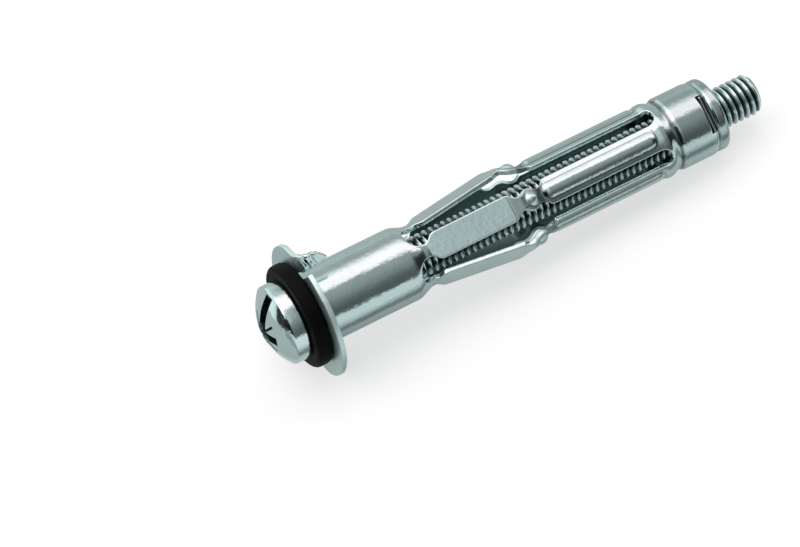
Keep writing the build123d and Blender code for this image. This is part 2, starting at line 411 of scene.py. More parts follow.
def sleeve_shadow(depth, radius, angle):
    """Painted shade: dark lines round the pressed beads and domes, a dark hollow and groove, a darker rear."""
    half = LEG_PITCH / 2
    turn = (angle - FIRST_LEG).maths("WRAP", half, -half) * (pi / 180)
    side = radius * turn.maths("SINE")
    groove = 1.0 - (depth - GROOVE_DEPTH).maths("ABSOLUTE").ramp(*GROOVE_FADE)
    dark = (depth.ramp(*REAR_START) * REAR_DARK).most(groove * GROOVE_DARK)
    for start, end, reach in PRESSED_LINES:
        past = depth - depth.most(start).least(end)
        off = ((side * side + past * past).maths("SQRT") - reach).maths("ABSOLUTE")
        dark = dark.most((1.0 - off.ramp(0.0, LINE_HALF_WIDTH)) * LINE_DARK)
    hollow = depth.band(HOLLOW_START, HOLLOW_END) * HOLLOW_DARK
    return dark.most(hollow) * depth.above(NECK_END)


def recess_shadow(depth, radius, angle):
    """Painted shade on the walls of the head's recess, below its crown."""
    crown = CROWN_CENTRE + (CROWN_SPHERE_R**2 - radius * radius).maths("SQRT")
    return (crown + depth).ramp(*RECESS_FADE) * depth.below(-HEAD_RIM) * RECESS_DARK


def key_shadow(depth, radius, angle):
    """Painted shade in the narrow gap round the insert's keys, mostly left off a key's edge in it."""
    gap = depth.band(KEY_GAP_START, KEY_GAP_END)
    edge = depth.band(KEY_EDGE_START, KEY_EDGE_END)
    return gap * (1.0 - edge * KEY_EDGE_BRIGHT) * KEY_GAP_DARK


def plated_steel(
    name, shadow, level, roughness, hidden=INSIDE_SHADE_LEVEL, streak=0.05, worn=0.1, dull=None
):
    """Bright zinc plate: a cool grey mirror, cloudy and finely drawn, dull on its inside and
    darkened there by painted shade, with its rims painted lighter as a highlight.

    Shadow says where painted shade makes it dark, and dull where it is dull. Hidden is the
    level of the painted shade on the inside, streak how much the drawn lines show, and worn
    how much rougher the edges are.
    """
    material, board = new_material(name)
    place = board.add("ShaderNodeTexCoord", output="Object")
    spot = anchor_place(board, place)
    lines = board.add("ShaderNodeMapping", inputs={"Vector": place, "Scale": DRAWN_SCALE})
    drawn = noise(board, lines, 1.0, 3.0)
    cloud = noise(board, place, CLOUD_SCALE, 4.0)
    grain = noise(board, place, GRAIN_SCALE, 2.0)
    dimple = noise(board, place, DIMPLE_SCALE, 1.5)
    rim = board.add("ShaderNodeAttribute", {"attribute_name": "rim"}, output="Fac")
    inside = board.add("ShaderNodeAttribute", {"attribute_name": "inside"}, output="Fac")
    # The rim mark is painted lighter as a highlight; the inside mark and the shadow mask are painted shade
    base = board.mix(rim, grey(level, ZINC_TINT), grey(WORN_HIGHLIGHT_LEVEL, ZINC_TINT))
    base = board.mix(inside, base, grey(hidden, SHADE_TINT))
    base = board.mix(shadow(*spot), base, grey(SHADOW_LEVEL, SHADE_TINT))
    clouding = 1.0 + (drawn - 0.5) * streak * 2.0 + (cloud - 0.5) * CLOUD_LIGHT
    colour = board.add("ShaderNodeVectorMath", {"operation": "SCALE"}, {0: base, "Scale": clouding})
    rough = roughness + (cloud - 0.5) * CLOUD_ROUGH + rim * worn + inside * INSIDE_ROUGH
    if dull:
        rough = rough + dull(*spot) * WORKED_ROUGH
    height = drawn * DRAWN_HEIGHT + grain * GRAIN_HEIGHT + dimple * DIMPLE_HEIGHT
    normal = board.add(
        "ShaderNodeBump", inputs={"Strength": 0.5, "Distance": PLATE_BUMP_DEPTH, "Height": height}
    )
    shader = board.add(
        "ShaderNodeBsdfPrincipled",
        inputs={"Base Color": colour, "Roughness": rough, "Metallic": 1.0, "Normal": normal},
    )
    board.add("ShaderNodeOutputMaterial", inputs={"Surface": shader})
    return material


# The ring's rubber
RUBBER_GRAIN_SCALE = 2600.0
RUBBER_CLOUD_SCALE = 500.0
RUBBER_BUMP_DEPTH = 0.00003
RUBBER_LEVELS = (0.001, 0.004)


def black_rubber(name):
    """Matt black rubber, finely grained and slightly cloudy."""
    material, board = new_material(name)
    place = board.add("ShaderNodeTexCoord", output="Object")
    grain = noise(board, place, RUBBER_GRAIN_SCALE, 5.0)
    cloud = noise(board, place, RUBBER_CLOUD_SCALE, 2.0)
    colour = board.mix(cloud, *(grey(level) for level in RUBBER_LEVELS))
    normal = board.add(
        "ShaderNodeBump", inputs={"Strength": 0.3, "Distance": RUBBER_BUMP_DEPTH, "Height": grain}
    )
    shader = board.add(
        "ShaderNodeBsdfPrincipled",
        inputs={
            "Base Color": colour,
            "Roughness": 0.5 + cloud * 0.15,
            "Specular IOR Level": 0.08,
            "Normal": normal,
        },
    )
    board.add("ShaderNodeOutputMaterial", inputs={"Surface": shader})
    return material


sleeve_plate = plated_steel("sleeve_plate", sleeve_shadow, 0.74, 0.14, dull=worked_metal)
insert_plate = plated_steel("insert_plate", key_shadow, 0.58, 0.18)
# The screw's low inside level paints its thread's roots nearly black as shade
screw_plate = plated_steel(
    "screw_plate", recess_shadow, 0.82, 0.13, hidden=0.04, streak=0.02, worn=0.15
)
ring_black = black_rubber("ring_black")


# Sleeve: one sheet, drawn as its outer surface and given its thickness
def bent_line(depth, corners):
    """The radius at a depth along straight runs whose corners are rounded by parabolas."""
    slopes = [
        (end[1] - start[1]) / (end[0] - start[0]) for start, end in zip(corners, corners[1:])
    ]
    radius = corners[0][1] + slopes[0] * (depth - corners[0][0])
    for before, after, (place, _, spread) in zip(slopes, slopes[1:], corners[1:]):
        past = depth - place
        rounded = (past + spread) ** 2 / (4 * max(spread, 1e-6))
        bend = np.where(past < -spread, 0.0, np.where(past > spread, past, rounded))
        radius = radius + (after - before) * bend
    return radius


def eased_table(outline, steps=24):
    """Depths and half widths along an outline whose runs leave and end along the leg."""
    share = np.linspace(0, 1, steps)
    depths, widths = [], []
    for (start, first), (end, last) in zip(outline, outline[1:]):
        middle = (start + end) / 2
        near, far = (1 - share) ** 3, share**3
        inner = 3 * (1 - share) * share
        depths.append(near * start + inner * middle + far * end)
        smooth = 3 * share**2 - 2 * share**3
        widths.append(first + (last - first) * smooth)
    return np.concatenate(depths), np.concatenate(widths)


OUTLINE_TABLE = eased_table(LEG_OUTLINE)
BAR_HALF_ANGLE = degrees(asin(LEG_WIDTH / 2 / BAR_R))


def leg_half_width(depth):
    outline = np.interp(depth, *OUTLINE_TABLE)
    bar = bent_line(depth, SLEEVE_LINE) * sin(radians(BAR_HALF_ANGLE))
    return np.where(depth > BAR_START, np.minimum(outline, bar), outline)


def smooth_step(value, low, high):
    share = np.clip((value - low) / (high - low), 0, 1)
    return share * share * (3 - 2 * share)


def smooth_most(first, second):
    """The larger of two, rounded where they are nearly equal."""
    near = np.maximum(CREASE_SOFTNESS - np.abs(first - second), 0)
    return np.maximum(first, second) + near**2 / (4 * CREASE_SOFTNESS)


SLOPE = np.array([SHOULDER_DEPTH - KNEE_END, KNEE_R - SHOULDER_R])
SLOPE = SLOPE / np.hypot(*SLOPE)
DOME_SEAT_R = KNEE_R - (KNEE_R - SHOULDER_R) * (DOME_DEPTH - KNEE_END) / (SHOULDER_DEPTH - KNEE_END)
DOME_CENTRE_R = DOME_SEAT_R - (DOME_R - DOME_HEIGHT) * SLOPE[0]
DOME_CENTRE_DEPTH = DOME_DEPTH - (DOME_R - DOME_HEIGHT) * SLOPE[1]


def pressed_form(centre_r, reach):
    """How far out a round pressed form stands, and 0 beside it."""
    return np.where(reach > 0, centre_r + np.sqrt(np.maximum(reach, 0)), 0)


def sheet_point(centre, side, depth, on_leg):
    """The outer surface, from an angle, a distance to its side, and a depth."""
    radius = bent_line(depth, SLEEVE_LINE)
    round_rise = np.sqrt(np.maximum(radius**2 - side**2, 0))
    flat = smooth_step(depth, *FLAT_START) * (1 - smooth_step(depth, *FLAT_END)) * on_leg
    rise = round_rise + flat * (radius - round_rise)
    past_end = depth - np.clip(depth, BEAD_START, BEAD_END)
    bead = pressed_form(BEAD_AXIS_R, BEAD_R**2 - side**2 - past_end**2)
    dome = pressed_form(DOME_CENTRE_R, DOME_R**2 - side**2 - (depth - DOME_CENTRE_DEPTH) ** 2)
    formed = smooth_most(smooth_most(rise, bead), dome)
    for place, sink, spread in CREASES:
        formed = formed - sink * np.exp(-(((depth - place) / spread) ** 2))
    rise = np.where(on_leg > 0.5, formed, rise)
    turn = np.radians(centre)
    x = rise * np.cos(turn) - side * np.sin(turn)
    y = rise * np.sin(turn) + side * np.cos(turn)
    return np.stack([x, y, -depth], axis=-1)


def sheet_normal(centre, side, depth, on_leg, step=0.004):
    across = sheet_point(centre, side + step, depth, on_leg)
    across = across - sheet_point(centre, side - step, depth, on_leg)
    along = sheet_point(centre, side, depth + step, on_leg)
    along = along - sheet_point(centre, side, depth - step, on_leg)
    normal = np.cross(along, across)
    return normal / np.linalg.norm(normal, axis=-1, keepdims=True)


class Sheet:
    """Collects patches of a sheet's two surfaces and the walls between them."""

    def __init__(self):
        self.points, self.faces, self.count = [], [], 0
        self.marks = {"rim": [], "inside": []}

    def grid(self, points, rim=0.0, inside=0.0, flip=False):
        rows, columns = points.shape[:2]
        index = np.arange(rows * columns).reshape(rows, columns) + self.count
        corners = [index[:-1, :-1], index[:-1, 1:], index[1:, 1:], index[1:, :-1]]
        faces = np.stack([corner.ravel() for corner in corners], axis=-1)
        self.faces.extend((faces[:, ::-1] if flip else faces).tolist())
        self.points.append(points.reshape(-1, 3))
        for name, value in (("rim", rim), ("inside", inside)):
            self.marks[name].append(np.broadcast_to(value, (rows, columns)).ravel())
        self.count += rows * columns

    def patch(self, centre, side, depth, on_leg, drop=0.0, rim=0.0, end_drop=None, wall=False):
        """A patch of both surfaces; drop is how far each has curved towards the other."""
        centre, side, depth, on_leg, drop, rim = np.broadcast_arrays(
            centre, side, depth, np.float64(on_leg), drop, rim
        )
        base = sheet_point(centre, side, depth, on_leg)
        normal = sheet_normal(centre, side, depth, on_leg)
        outer_drop = drop if end_drop is None else end_drop
        outer = base - normal * np.broadcast_to(outer_drop, drop.shape)[..., None]
        inner = base - normal * (SHEET - drop)[..., None]
        self.grid(outer, rim)
        # The inner surface is marked inside, which the material darkens as painted shade
        self.grid(inner, rim, inside=1.0 - rim, flip=True)
        if wall:
            self.grid(np.stack([outer[:, -1], inner[:, -1]], axis=1), 1.0)
        return outer, inner

    def mesh(self, name):
        bm = bmesh.new()
        layers = [bm.verts.layers.float.new(mark) for mark in self.marks]
        marks = zip(*(np.concatenate(values) for values in self.marks.values()))
        for place, values in zip(np.concatenate(self.points), marks):
            vert = bm.verts.new(place)
            for layer, value in zip(layers, values):
                vert[layer] = value
        bm.verts.ensure_lookup_table()
        for face in self.faces:
            bm.faces.new([bm.verts[index] for index in face])
        bmesh.ops.remove_doubles(bm, verts=bm.verts, dist=MERGE)
        bmesh.ops.dissolve_degenerate(bm, dist=SLIVER, edges=bm.edges)
        open_edges = [edge for edge in bm.edges if edge.is_boundary]
        bmesh.ops.holes_fill(bm, edges=open_edges, sides=NOTCH_WALL_SIDES)
        return finish_mesh(bm, name)


def finish_mesh(bm, name, sharp_angle=40):
    """Recalculates the normals and moves a mesh from the anchor's frame to its place."""
    bmesh.ops.recalc_face_normals(bm, faces=bm.faces)
    shade(bm, sharp_angle)
    mesh = bpy.data.meshes.new(name)
    bm.to_mesh(mesh)
    bm.free()
    mesh.transform(PLACE @ Matrix.Scale(MM, 4))
    return mesh


LEG_COLUMNS = 14
SLOT_COLUMNS = 16
REAR_ROWS = 64
ROUND_ROWS = 7
ACROSS_LEG = np.linspace(-1, 1, LEG_COLUMNS + 1)
ARC_TURN = np.radians(np.linspace(-90, 90, SLOT_COLUMNS + 1))
# A rounded edge in steps: how far out each is, as a share, and how far it has dropped
ROUND_STEPS = np.radians(np.linspace(0, 90, 5))
EDGE_SHARE = np.sin(ROUND_STEPS)
EDGE_DROP = EDGE_ROUND * (1 - np.cos(ROUND_STEPS))
SLOT_R = BAR_R * sin(radians(LEG_PITCH / 2 - BAR_HALF_ANGLE))
BAR_END = SLOT_END_DEPTH - SLOT_R


def neck_angle(inset):
    return degrees(asin((LEG_OUTLINE[0][1] - inset) / PINCH_R))


def rear_angle(inset):
    return degrees(asin(sin(radians(BAR_HALF_ANGLE)) - inset / BAR_R))


def inset_half_width(depth, inset):
    """Half a leg's width less an inset measured square to its edge."""
    step = 0.01
    slope = (leg_half_width(depth + step) - leg_half_width(depth - step)) / (2 * step)
    return leg_half_width(depth) - inset * np.sqrt(1 + slope**2)


def relief_arc(inset):
    """Side and depth of a relief hole's front edge, from its middle plane."""
    half = tan(radians(LEG_PITCH / 2 - neck_angle(inset)))
    lean = np.arctan(half * np.sin(ARC_TURN))
    depth = RELIEF_DEPTH - (RELIEF_R + inset) * np.cos(ARC_TURN)
    return np.degrees(lean), depth


def slot_arc(inset):
    """Side and depth of a slot's rear edge, from its middle plane."""
    half = sin(radians(LEG_PITCH / 2 - rear_angle(inset)))
    lean = np.degrees(np.arcsin(half * np.sin(ARC_TURN)))
    depth = BAR_END + (SLOT_R + inset) * np.cos(ARC_TURN)
    return lean, depth


def ring_columns(leg_angle, arc, leg_depth):
    """Angles and end depths of the columns round the whole sleeve."""
    lean, arc_depth = arc
    leg_lean = np.degrees(np.arcsin(ACROSS_LEG * sin(radians(leg_angle))))
    centres, leans, depths = [], [], []
    for leg in range(LEGS):
        middle = FIRST_LEG + leg * LEG_PITCH
        centres += [np.full(LEG_COLUMNS, middle), np.full(SLOT_COLUMNS, middle + LEG_PITCH / 2)]
        leans += [leg_lean[:-1], lean[:-1]]
        depths += [np.full(LEG_COLUMNS, leg_depth), arc_depth[:-1]]
    columns = [np.concatenate(part) for part in (centres, leans, depths)]
    return [np.append(part, part[0]) for part in columns]


def ring_patch(sheet, columns, depth, **options):
    centre, lean, _ = columns
    side = bent_line(depth, SLEEVE_LINE) * np.sin(np.radians(lean))
    return sheet.patch(centre, side, depth, 0.0, **options)


def leg_rows():
    """Depths along a leg, closer together where it has more form."""
    # Where each stretch starts and ends, and its rows
    stretches = (
        (RELIEF_DEPTH, 14.9, 16),
        (14.9, 16.2, 10),
        (16.2, 24.7, 24),
        (24.7, 25.1, 14),
        (25.1, 31.2, 58),
        (31.2, 41.8, 26),
    )
    rows = [np.linspace(*stretch, endpoint=False) for stretch in stretches]
    return np.concatenate(rows + [np.linspace(41.8, BAR_END, 16)])


def tube_rows():
    """Shares of the tube's length, closer together towards the pinch."""
    straight = np.linspace(0, 0.8, 14, endpoint=False)
    return np.concatenate([straight, np.linspace(0.8, 1, 22)])


FRONT_COLUMNS = ring_columns(neck_angle(EDGE_ROUND), relief_arc(EDGE_ROUND), RELIEF_DEPTH)
REAR_COLUMNS = ring_columns(rear_angle(EDGE_ROUND), slot_arc(EDGE_ROUND), BAR_END)


def flange_fold(sheet, columns):
    """The quarter bend from the tube to the flange."""
    fold = np.radians(np.linspace(90, 0, ROUND_ROWS))
    angle = np.radians(columns[0] + columns[1])
    for bend, flip in ((FOLD_INNER_R, False), (FOLD_OUTER_R, True)):
        radius = (TUBE_R + FOLD_INNER_R - bend * np.cos(fold))[:, None]
        rise = (bend * np.sin(fold) - FOLD_OUTER_R)[:, None]
        rise = np.broadcast_to(rise, (len(fold), len(angle)))
        sheet.grid(np.stack([radius * np.cos(angle), radius * np.sin(angle), rise], -1), flip=flip)


def sleeve_body(sheet):
    """All of the sleeve behind its flange: the tube, the legs and the rear end."""
    front, rear = FRONT_COLUMNS, REAR_COLUMNS
    depth = FOLD_OUTER_R + (front[2] - FOLD_OUTER_R) * tube_rows()[:, None]
    ring_patch(sheet, front, depth)
    flange_fold(sheet, front)
    share = np.linspace(0, 1, REAR_ROWS)[:, None]
    depth = rear[2] + (NOTCH_DEPTH - EDGE_ROUND - rear[2]) * share
    ring_patch(sheet, rear, depth)
    rear_crown(sheet, rear)
    rows = leg_rows()
    for leg in range(LEGS):
        middle = FIRST_LEG + leg * LEG_PITCH
        side = ACROSS_LEG * inset_half_width(rows, EDGE_ROUND)[:, None]
        sheet.patch(middle, side, rows[:, None], 1.0)
        slot_edges(sheet, middle, rows)


def slot_edges(sheet, middle, rows):
    """The rounded edge of the slot after a leg: its front arc, its two sides, its rear arc."""
    slot = middle + LEG_PITCH / 2
    near, far = inset_half_width(rows, EDGE_ROUND), leg_half_width(rows)
    side = near[:, None] + (far - near)[:, None] * EDGE_SHARE
    sheet.patch(middle, side, rows[:, None], 1.0, EDGE_DROP, EDGE_SHARE, wall=True)
    sheet.patch(middle + LEG_PITCH, -side, rows[:, None], 1.0, EDGE_DROP, EDGE_SHARE, wall=True)
    for arc in (relief_arc, slot_arc):
        (near_lean, near_depth), (far_lean, far_depth) = arc(EDGE_ROUND), arc(0)
        lean = near_lean[:, None] + (far_lean - near_lean)[:, None] * EDGE_SHARE
        depth = near_depth[:, None] + (far_depth - near_depth)[:, None] * EDGE_SHARE
        side = bent_line(depth, SLEEVE_LINE) * np.sin(np.radians(lean))
        sheet.patch(slot, side, depth, 0.0, EDGE_DROP, EDGE_SHARE, wall=True)


def end_stretch(sheet, columns, depth, drop, rim):
    """The rows up to the rear end over some of the columns, closed at the end."""
    depth = depth[:, None] + 0 * columns[1]
    outer, inner = ring_patch(sheet, columns, depth, end_drop=drop[:, None], rim=rim)
    sheet.grid(np.stack([outer[-1], inner[-1]], axis=0), 1.0)
    return outer, inner


def rear_crown(sheet, columns):
    """The rear end: two raised stretches between two notches, with a rounded outer edge."""
    angle = (columns[0] + columns[1]) % 360
    in_notch = np.zeros(len(angle), bool)
    for notch in NOTCH_ANGLES:
        in_notch |= np.abs((angle - notch + 180) % 360 - 180) < NOTCH_HALF_ANGLE
    middle = in_notch[:-1] & in_notch[1:]
    turns = np.radians(np.linspace(0, 90, ROUND_ROWS))
    crown_depth = SLEEVE_END - SLEEVE_END_ROUND * (1 - np.sin(turns))
    crown_depth = np.concatenate([[NOTCH_DEPTH - EDGE_ROUND], crown_depth])
    crown_drop = np.concatenate([[0], SLEEVE_END_ROUND * (1 - np.cos(turns))])
    notch_depth = NOTCH_DEPTH - EDGE_ROUND * (1 - EDGE_SHARE)
    runs = np.split(np.arange(len(middle)), np.flatnonzero(np.diff(middle.astype(int))) + 1)
    for run in runs:
        span = np.append(run, run[-1] + 1)
        stretch = [column[span] for column in columns]
        if middle[run[0]]:
            end_stretch(sheet, stretch, notch_depth, EDGE_DROP, rim=0.5)
            continue
        outer, inner = end_stretch(sheet, stretch, crown_depth, crown_drop, rim=0.3)
        for edge in (0, -1):
            sheet.grid(np.stack([outer[1:, edge], inner[1:, edge]], axis=1), 1.0)


# Flange and claws
CLAW_BEND_ROWS = 46
CLAW_STRAIGHT_ROWS = 16
CLAW_COLUMNS = 11


def next_round(items):
    """A closed row of things, each moved on by one."""
    return items[1:] + items[:1]


def arc_points(radius, start, end, step=3.0):
    count = max(2, int(abs(end - start) / step) + 1)
    return [polar(radius, angle) for angle in np.linspace(start, end, count)]


def flange_outline():
    """The flange's outline, from one bend line round to it again, in two equal halves."""
    bend_rim = polar(BEND_END_R, BEND_END_ANGLE)
    bend_root = bend_rim - polar(BEND_LINE_LENGTH, BEND_LINE_ANGLE)
    plain_angle = 180 - GAP_HALF_ANGLE
    step_angle = plain_angle - TRIMMED_RIM_ANGLE
    half = [bend_root, bend_rim]
    half += arc_points(FLANGE_R, CORNER_FLAT_ANGLE, step_angle)
    half += arc_points(PLAIN_END_R, step_angle, plain_angle)
    half.append(half[-1] - polar(PLAIN_EDGE_LENGTH, plain_angle - PLAIN_END_TURN))
    throat = [degrees(atan2(point.y, point.x)) % 360 for point in (half[-1], -bend_root)]
    half += arc_points(FLANGE_CORE_R, throat[0] + CORE_CORNER_ANGLE, throat[1] - CORE_CORNER_ANGLE)
    return half + [-point for point in half]


def inset_loop(points, distance, sharpest=0.35):
    """A closed outline moved inwards with its corners kept. Sharpest limits a corner's move."""
    moved = []
    for before, here, after in zip(points[-1:] + points[:-1], points, next_round(points)):
        first = (here - before).normalized()
        second = (after - here).normalized()
        normals = [Vector((-line.y, line.x)) for line in (first, second)]
        bisector = (normals[0] + normals[1]).normalized()
        moved.append(here + bisector * distance / max(bisector.dot(normals[0]), sharpest))
    return moved


def flange_mesh():
    """The flat flange with its rounded edges, up to the fold."""
    bm = bmesh.new()
    rim_layer = bm.verts.layers.float.new("rim")
    outline = flange_outline()
    core_angles = (FRONT_COLUMNS[0] + FRONT_COLUMNS[1])[:-1]
    core = [polar(TUBE_R + FOLD_INNER_R, angle) for angle in core_angles]
    loops = []
    for face, towards in ((0.0, -1), (-SHEET, 1)):
        stack = []
        for share, drop in zip(EDGE_SHARE, EDGE_DROP):
            ring = inset_loop(outline, EDGE_ROUND * (1 - share))
            verts = [bm.verts.new((point.x, point.y, face + towards * drop)) for point in ring]
            for vert in verts:
                vert[rim_layer] = share
            stack.append(verts)
        inner = [bm.verts.new((point.x, point.y, face)) for point in core]
        edges = []
        for verts in (stack[0], inner):
            edges += [bm.edges.new(pair) for pair in zip(verts, next_round(verts))]
        bmesh.ops.triangle_fill(bm, edges=edges, use_beauty=True, normal=(0, 0, -towards))
        loops.append(stack)
    strips = [pair for stack in loops for pair in zip(stack, stack[1:])]
    strips.append((loops[0][-1], loops[1][-1]))
    for first, second in strips:
        for corners in zip(first, next_round(first), next_round(second), second):
            bm.faces.new(corners)
    return bm


def claw_span(depth):
    """Where a claw starts and ends along its bend line, at a depth."""
    low = CLAW_TIP - CLAW_TIP_WIDTH / 2
    high = CLAW_TIP + CLAW_TIP_WIDTH / 2
    past_fold = np.clip((depth - CLAW_OUTER_R) / (CLAW_DEPTH - CLAW_OUTER_R), 0, 1)
    start = low * past_fold**CLAW_BULGE
    end = np.interp(depth, [0, CLAW_OUTER_R, CLAW_DEPTH], [BEND_LINE_LENGTH, CLAW_SIDE, high])
    return start, end


def claw_rows(radius):
    """Each row of a claw at a bend radius: how far out it is, how deep and how far turned."""
    bend = np.radians(np.linspace(0, 90, CLAW_BEND_ROWS))
    straight = np.linspace(CLAW_OUTER_R, CLAW_DEPTH, CLAW_STRAIGHT_ROWS)[1:]
    out = np.concatenate([[-CLAW_ROOT], radius * np.sin(bend), np.full(len(straight), radius)])
    bent_depth = CLAW_OUTER_R - radius * np.cos(bend)
    depth = np.concatenate([[CLAW_OUTER_R - radius], bent_depth, straight])
    turn = np.concatenate([[0], bend, np.full(len(straight), pi / 2)])
    return [row[:, None] for row in (out, depth, turn)]


def claw_columns(depth):
    """How far along the bend line each column of a claw is, at each depth."""
    start, end = claw_span(depth)
    inset = np.minimum(EDGE_ROUND, (end - start) / 3)
    low = start + inset * (1 - EDGE_SHARE[::-1])
    high = end - inset * (1 - EDGE_SHARE)
    middle = np.linspace(0, 1, CLAW_COLUMNS)[1:-1]
    between = low[:, -1:] + (high[:, :1] - low[:, -1:]) * middle
    return np.concatenate([low, between, high], axis=1)


def claw_crumple(depth, turn, along):
    """How far a claw's sheet is crumpled out of its place."""
    run = turn * (CLAW_INNER_R + CLAW_OUTER_R) / 2 + np.maximum(depth - CLAW_OUTER_R, 0)
    sway = CRUMPLE_SWAY * np.sin(along * CRUMPLE_SWAY_RATE)
    wave = np.sin(run * 2 * pi / CRUMPLE_LENGTH + sway)
    wave = wave * smooth_step(run, *CRUMPLE_START) * (1 - smooth_step(run, *CRUMPLE_END))
    return CRUMPLE * wave


def claw_patch(sheet, turned):
    """One claw, bent back along its line, with rounded edges and a blunt tip."""
    rim = polar(BEND_END_R, BEND_END_ANGLE + turned)
    inward = -polar(1, BEND_LINE_ANGLE + turned)
    out = Vector((-inward.y, inward.x))
    flat = np.zeros(CLAW_COLUMNS - 2)
    ridge = np.concatenate([EDGE_SHARE[::-1], flat, EDGE_SHARE])
    drop = np.concatenate([EDGE_DROP[::-1], flat, EDGE_DROP])
    surfaces = []
    for radius, towards in ((CLAW_OUTER_R - CLAW_SUNK, 1), (CLAW_INNER_R + CLAW_SUNK, -1)):
        lateral, depth, turn = claw_rows(radius)
        along = claw_columns(depth)
        sink = drop * towards + claw_crumple(depth, turn, along)
        spot_x = lateral - sink * np.sin(turn)
        spot_z = depth + sink * np.cos(turn)
        x = rim.x + inward.x * along + out.x * spot_x
        y = rim.y + inward.y * along + out.y * spot_x
        surfaces.append(np.stack([x, y, -spot_z], axis=-1))
        sheet.grid(surfaces[-1], ridge, flip=towards < 0)
    for edge in (0, -1):
        walls = [surface[:, edge] for surface in surfaces]
        sheet.grid(np.stack(walls, axis=1), 1.0)
        ends = [surface[edge] for surface in surfaces]
        sheet.grid(np.stack(ends, axis=0), 1.0)


def add_mesh(mesh, other, merge=0.0):
    """Adds another mesh to a mesh, and makes one of points nearer than merge."""
    bm = bmesh.new()
    bm.from_mesh(mesh)
    bm.from_mesh(other)
    if merge:
        bmesh.ops.remove_doubles(bm, verts=bm.verts, dist=merge)
    bm.to_mesh(mesh)
    bm.free()


def make_sleeve():
    sheet = Sheet()
    sleeve_body(sheet)
    for turned in (0, 180):
        claw_patch(sheet, turned)
    mesh = sheet.mesh("folded_sleeve")
    add_mesh(mesh, finish_mesh(flange_mesh(), "flange"), merge=MERGE * MM)
    sleeve = new_object("folded_sleeve", mesh, sleeve_plate)
    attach(sleeve, "anchor")
    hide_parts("sleeve")


# Screw
THREAD_INPUTS = {
    "Pitch": "NodeSocketFloat",
    "Crest radius": "NodeSocketFloat",
    "Root radius": "NodeSocketFloat",
    "Start depth": "NodeSocketFloat",
    "End depth": "NodeSocketFloat",
    "Crest depth": "NodeSocketFloat",
    "Chamfer": "NodeSocketFloat",
    "Turns": "NodeSocketInt",
    "Rows a turn": "NodeSocketInt",
    "Columns": "NodeSocketInt",
    "Material": "NodeSocketMaterial",
}


def mark_points(board, geometry, name, value):
    """Stores a value on a mesh's points."""
    settings = {"data_type": "FLOAT", "domain": "POINT"}
    inputs = {"Geometry": geometry, "Name": name, "Value": value}
    return board.add("GeometryNodeStoreNamedAttribute", settings, inputs)


def thread_tree():
    """A helical thread as a grid rolled round the axis, a row for each share of the pitch."""
    tree = bpy.data.node_groups.new("rolled_thread", "GeometryNodeTree")
    face = tree.interface
    face.new_socket(name="Geometry", in_out="OUTPUT", socket_type="NodeSocketGeometry")
    for name, kind in THREAD_INPUTS.items():
        face.new_socket(name=name, in_out="INPUT", socket_type=kind)
    board = Board(tree)
    first = board.add("NodeGroupInput", output="Pitch")
    sizes = board.outputs(first, *THREAD_INPUTS)
    pitch, crest, root, start, end, crest_depth, chamfer, turns, rows, columns, material = sizes
    counts = {"Vertices X": columns + 1, "Vertices Y": turns * rows + 1}
    grid = board.add("GeometryNodeMeshGrid", inputs={"Size X": 1.0, "Size Y": 1.0, **counts})
    place = board.add("GeometryNodeInputPosition")
    spread = board.add("ShaderNodeSeparateXYZ", inputs={0: place})
    share, along = board.outputs(spread, "X", "Y")
    share, along = share + 0.5, along + 0.5
    first_crest = crest_depth - (((crest_depth - start) / pitch).maths("CEIL") + 0.5) * pitch
    depth = first_crest + along * turns * pitch - share * pitch
    phase = (along * turns + ROW_NUDGE).maths("FRACT")
    peak = 1.0 - (phase * 2.0 - 1.0).maths("ABSOLUTE")
    height = ((peak - THREAD_FLAT) * (1 / (1 - 2 * THREAD_FLAT))).most(0.0).least(1.0)
    radius = root + (crest - root) * height
    radius = radius.least(crest - (depth - end + chamfer).most(0.0))
    turn = share * (2 * pi)
    moved = board.add(
        "ShaderNodeCombineXYZ",
        inputs={0: radius * turn.maths("COSINE"), 1: radius * turn.maths("SINE"), 2: depth * -1.0},
    )
    # Painted shade on the thread's roots (inside) and a painted highlight on its worn crests (rim)
    marked = mark_points(board, grid, "inside", 1.0 - height.ramp(*THREAD_DULL_SHADE))
    marked = mark_points(board, marked, "rim", height.ramp(*THREAD_WORN_HIGHLIGHT))
    rolled = board.add("GeometryNodeSetPosition", inputs={"Geometry": marked, "Position": moved})
    merging = {"Geometry": rolled, "Distance": SLIVER}
    merged = board.add("GeometryNodeMergeByDistance", inputs=merging)
    whole_thread = board.add("GeometryNodeRealizeInstances", inputs={"Geometry": merged})
    painting = {"Geometry": whole_thread, "Material": material}
    painted = board.add("GeometryNodeSetMaterial", inputs=painting)
    board.add("NodeGroupOutput", inputs={0: painted})
    return tree


def baked_nodes(name, tree, values):
    """The mesh that a node tree makes, as plain data."""
    holder = bpy.data.objects.new(name, bpy.data.meshes.new(name))
    bpy.context.scene.collection.objects.link(holder)
    modifier = holder.modifiers.new("nodes", "NODES")
    modifier.node_group = tree
    for item in tree.interface.items_tree:
        if item.in_out == "INPUT":
            modifier[item.identifier] = values[item.name]
    graph = bpy.context.evaluated_depsgraph_get()
    mesh = bpy.data.meshes.new_from_object(holder.evaluated_get(graph))
    holder.modifiers.remove(modifier)
    bpy.data.objects.remove(holder)
    return mesh


def cut_square(bm, depth, keep):
    """Cuts a mesh square to the axis, keeps one side of the cut and closes it."""
    bmesh.ops.bisect_plane(
        bm,
        geom=bm.verts[:] + bm.edges[:] + bm.faces[:],
        plane_co=(0, 0, -depth),
        plane_no=(0, 0, keep),
        clear_inner=True,
    )
    bmesh.ops.holes_fill(bm, edges=[edge for edge in bm.edges if edge.is_boundary])


